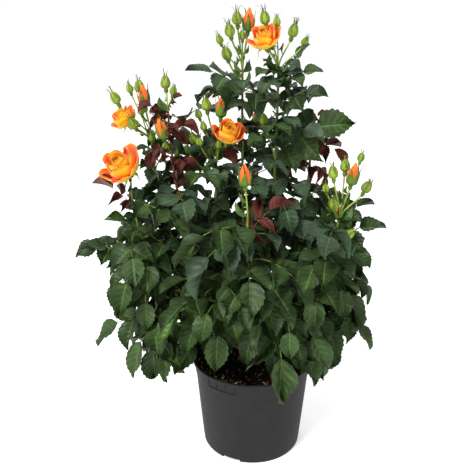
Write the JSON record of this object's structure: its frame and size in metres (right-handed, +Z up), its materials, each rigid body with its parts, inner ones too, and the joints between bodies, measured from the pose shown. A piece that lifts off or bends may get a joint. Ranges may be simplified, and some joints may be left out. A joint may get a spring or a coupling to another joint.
{
  "type": "rose bush",
  "caption": "Container-grown rose bush in a round tapered nursery pot: a woody crown, fanned canes and leafy shoots with buds and open blooms.",
  "frame": {"origin": "middle of the pot's flat underside", "axes": "+Z up along the pot's axis, and the bush faces -Y"},
  "size_m": [0.542, 0.4254, 0.8188],
  "materials": {
    "pot_plastic": "moulded dark grey polypropylene, matte",
    "potting_soil": "moist peat compost with bits of bark and perlite",
    "wood": "green to brown rose bark",
    "foliage": "green rose leaves with a low gloss, with orange and yellow blooms"
  },
  "bodies": {
    "root": {"pot": "pot_plastic", "soil": "potting_soil", "crown": "wood", "bough_back_centre": "wood", "bough_back_left": "wood", "bough_back_low": "wood", "bough_back_low_left": "wood", "bough_back_low_right": "wood", "bough_back_right": "wood", "bough_centre": "wood", "bough_front": "wood", "bough_front_low_left": "wood", "bough_front_low_right": "wood", "bough_left_back": "wood", "bough_left_bloom": "wood", "bough_left_low": "wood", "bough_left_mid": "wood", "bough_left_side": "wood", "bough_left_upper": "wood", "bough_right": "wood", "bough_right_inner": "wood", "bough_right_low": "wood", "bough_right_side": "wood", "bough_top_left": "wood", "bough_top_right": "wood", "foliage_back_centre": "foliage", "foliage_back_left": "foliage", "foliage_back_low": "foliage", "foliage_back_low_left": "foliage", "foliage_back_low_right": "foliage", "foliage_back_right": "foliage", "foliage_centre": "foliage", "foliage_front": "foliage", "foliage_front_low_left": "foliage", "foliage_front_low_right": "foliage", "foliage_left_back": "foliage", "foliage_left_bloom": "foliage", "foliage_left_low": "foliage", "foliage_left_mid": "foliage", "foliage_left_side": "foliage", "foliage_left_upper": "foliage", "foliage_right": "foliage", "foliage_right_inner": "foliage", "foliage_right_low": "foliage", "foliage_right_side": "foliage", "foliage_top_left": "foliage", "foliage_top_right": "foliage"}
  },
  "joints": []
}
